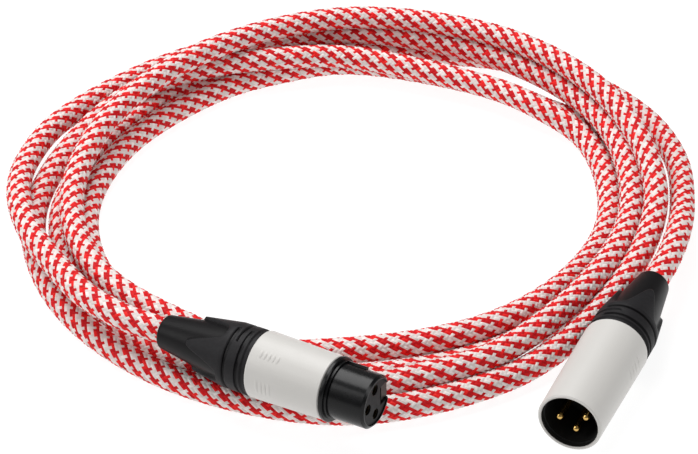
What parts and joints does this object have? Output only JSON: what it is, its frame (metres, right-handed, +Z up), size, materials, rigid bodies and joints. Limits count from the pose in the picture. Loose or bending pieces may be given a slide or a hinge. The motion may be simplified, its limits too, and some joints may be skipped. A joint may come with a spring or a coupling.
{
  "type": "balanced instrument cable",
  "caption": "Coiled balanced audio cable in a red and white woven sleeve, with a latching three-contact socket connector on one end and a three-pin plug connector on the other.",
  "frame": {"origin": "middle of the footprint, on the surface the coil lies on", "axes": "+Z up, the coil's axis; -Y towards the two connectors' mating faces"},
  "size_m": [0.2288, 0.2394, 0.0286],
  "materials": {
    "sleeve": "woven",
    "jacket": "matt",
    "boot": "matt",
    "chuck": "matt",
    "white_shell": "satin",
    "black_shell": "satin",
    "carrier": "matt",
    "gold_contact": "polished, gold plated",
    "latch_metal": "dark",
    "spring_steel": "bright",
    "core_red": "gloss",
    "core_white": "gloss",
    "bare_wire": "tinned"
  },
  "bodies": {
    "cable": {"cable_coil": "sleeve", "cable_socket_end": "sleeve", "cable_plug_end": "sleeve", "socket_shell": "white_shell", "socket_nose": "black_shell", "socket_insert": "carrier", "socket_contact_1": "gold_contact", "socket_contact_2": "gold_contact", "socket_contact_3": "gold_contact", "socket_ground_ring": "spring_steel", "socket_jacket_end": "jacket", "socket_core_a": "core_red", "socket_core_b": "core_white", "socket_shield_wire": "bare_wire", "plug_shell": "white_shell", "plug_insert": "carrier", "plug_pin_1": "gold_contact", "plug_pin_2": "gold_contact", "plug_pin_3": "gold_contact", "plug_ground_ring": "spring_steel", "plug_jacket_end": "jacket", "plug_core_a": "core_red", "plug_core_b": "core_white", "plug_shield_wire": "bare_wire"},
    "socket_clamp": {"socket_chuck": "chuck"},
    "socket_boot": {"socket_boot": "boot"},
    "plug_clamp": {"plug_chuck": "chuck"},
    "plug_boot": {"plug_boot": "boot"},
    "latch": {"socket_latch": "latch_metal", "socket_latch_spring": "spring_steel"}
  },
  "joints": [
    {"name": "socket_chuck_slide", "type": "slide", "parent": "cable", "child": "socket_clamp", "axis": [-0.8658, 0.4999, -0.0236], "range_m": [0, 0.003]},
    {"name": "socket_boot_screw", "type": "hinge", "parent": "socket_clamp", "child": "socket_boot", "pos_m": [-0.0539, -0.0776, 0.0175], "axis": [-0.8658, 0.4999, -0.0236], "range_deg": [0, 1440]},
    {"name": "plug_chuck_slide", "type": "slide", "parent": "cable", "child": "plug_clamp", "axis": [0.4333, 0.9004, 0.0401], "range_m": [0, 0.003]},
    {"name": "plug_boot_screw", "type": "hinge", "parent": "plug_clamp", "child": "plug_boot", "pos_m": [0.0934, -0.0465, 0.0125], "axis": [0.4333, 0.9004, 0.0401], "range_deg": [0, 1440]},
    {"name": "latch_press", "type": "slide", "parent": "cable", "child": "latch", "axis": [-0.5, -0.866, 0], "range_m": [0, 0.0012], "stiffness_N_per_m": 1200, "springref_m": -0.0005}
  ],
  "couplings": [
    {"joint": "socket_boot_screw", "follows": "socket_chuck_slide", "rad_per_m": 8377.6},
    {"joint": "plug_boot_screw", "follows": "plug_chuck_slide", "rad_per_m": 8377.6}
  ]
}
